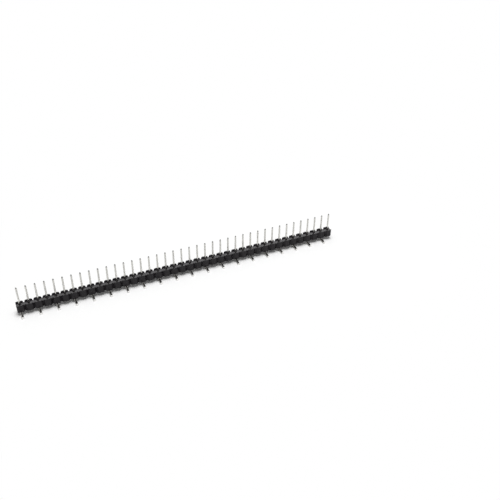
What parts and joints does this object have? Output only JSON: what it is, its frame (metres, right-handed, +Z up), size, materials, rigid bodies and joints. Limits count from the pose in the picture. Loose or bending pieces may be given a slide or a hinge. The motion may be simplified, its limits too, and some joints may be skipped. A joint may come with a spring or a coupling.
{
  "type": "pin header strip",
  "caption": "Single-row surface-mount pin header: turned contact pins standing in a notched, channelled black strip, with solder feet bent alternately to the front and the back.",
  "frame": {"origin": "below the middle of the row, on the plane that the solder feet stand on", "axes": "+X along the row from the first pin to the last, +Z up along the contact pins, -Y towards the end of the first pin's foot"},
  "size_m": [0.1012, 0.006, 0.0092],
  "materials": {
    "plastic": "moulded, semi-gloss black",
    "pin_metal": "turned, with bright tin plate"
  },
  "bodies": {
    "root": {"housing": "plastic", "pin_01": "pin_metal", "pin_02": "pin_metal", "pin_03": "pin_metal", "pin_04": "pin_metal", "pin_05": "pin_metal", "pin_06": "pin_metal", "pin_07": "pin_metal", "pin_08": "pin_metal", "pin_09": "pin_metal", "pin_10": "pin_metal", "pin_11": "pin_metal", "pin_12": "pin_metal", "pin_13": "pin_metal", "pin_14": "pin_metal", "pin_15": "pin_metal", "pin_16": "pin_metal", "pin_17": "pin_metal", "pin_18": "pin_metal", "pin_19": "pin_metal", "pin_20": "pin_metal", "pin_21": "pin_metal", "pin_22": "pin_metal", "pin_23": "pin_metal", "pin_24": "pin_metal", "pin_25": "pin_metal", "pin_26": "pin_metal", "pin_27": "pin_metal", "pin_28": "pin_metal", "pin_29": "pin_metal", "pin_30": "pin_metal", "pin_31": "pin_metal", "pin_32": "pin_metal", "pin_33": "pin_metal", "pin_34": "pin_metal", "pin_35": "pin_metal", "pin_36": "pin_metal", "pin_37": "pin_metal", "pin_38": "pin_metal", "pin_39": "pin_metal", "pin_40": "pin_metal"}
  },
  "joints": []
}
